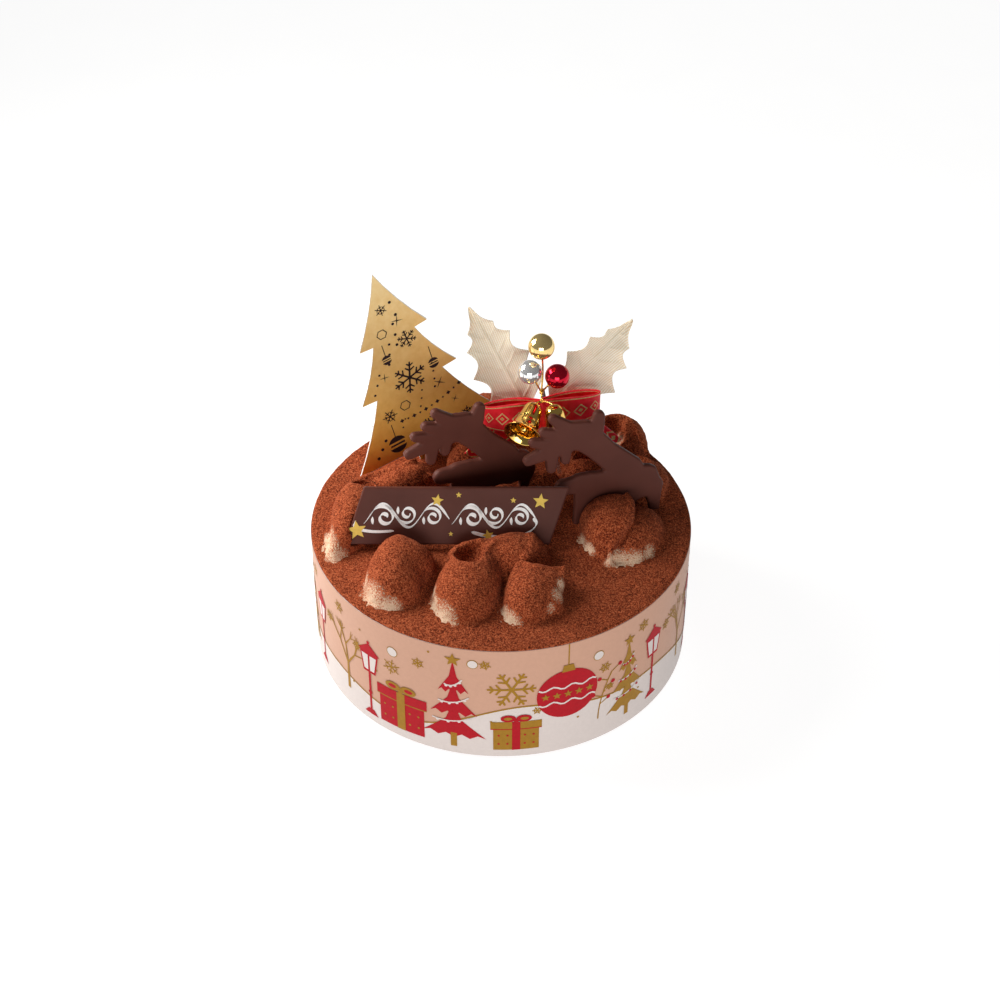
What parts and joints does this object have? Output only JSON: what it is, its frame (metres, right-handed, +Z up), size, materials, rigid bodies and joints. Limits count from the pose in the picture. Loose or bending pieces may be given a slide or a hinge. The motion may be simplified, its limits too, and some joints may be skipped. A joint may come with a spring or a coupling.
{
  "type": "chocolate cake",
  "caption": "Round chocolate cake dusted with cocoa, wrapped in a printed winter paper band, with piped petals, a card tree, chocolate reindeer, a plaque and a holly pick.",
  "frame": {"origin": "centre of the cake's base, on the table", "axes": "+X to the right across the front, +Y to the back, +Z up"},
  "size_m": [0.12, 0.12, 0.1179],
  "materials": {
    "cocoa": "cocoa powder over whipped cream and sponge, dry and grainy",
    "paper": "coated paper, printed, soft sheen",
    "card": "gold card, printed in dark brown, satin",
    "chocolate": "moulded dark chocolate, smooth, satin",
    "leaf": "stiffened cream fabric with a fine weave",
    "gold": "gold plating, polished",
    "silver": "silver plating, polished",
    "red": "red metallic lacquer, polished",
    "ribbon": "red satin ribbon",
    "clear": "clear plastic, glossy"
  },
  "bodies": {
    "root": {"cake_body": "cocoa", "paper_band": "paper", "petal_left": "cocoa", "petal_left_rear": "cocoa", "petal_front_left": "cocoa", "petal_front": "cocoa", "petal_front_right": "cocoa", "petal_right": "cocoa", "petal_right_rear": "cocoa", "petal_back_right": "cocoa", "petal_back": "cocoa", "petal_back_middle": "cocoa", "petal_back_left": "cocoa", "peak_middle": "cocoa", "peak_right": "cocoa", "peak_front": "cocoa", "peak_rear": "cocoa", "card_tree": "card", "plaque": "chocolate", "reindeer_right": "chocolate", "reindeer_left": "chocolate", "holly_leaf_left": "leaf", "holly_leaf_right": "leaf", "ball_gold": "gold", "ball_silver": "silver", "ball_red": "red", "pick_stick": "clear", "pick_wires": "gold", "ribbon_bow": "ribbon", "bell_left": "gold", "bell_right": "gold"}
  },
  "joints": []
}
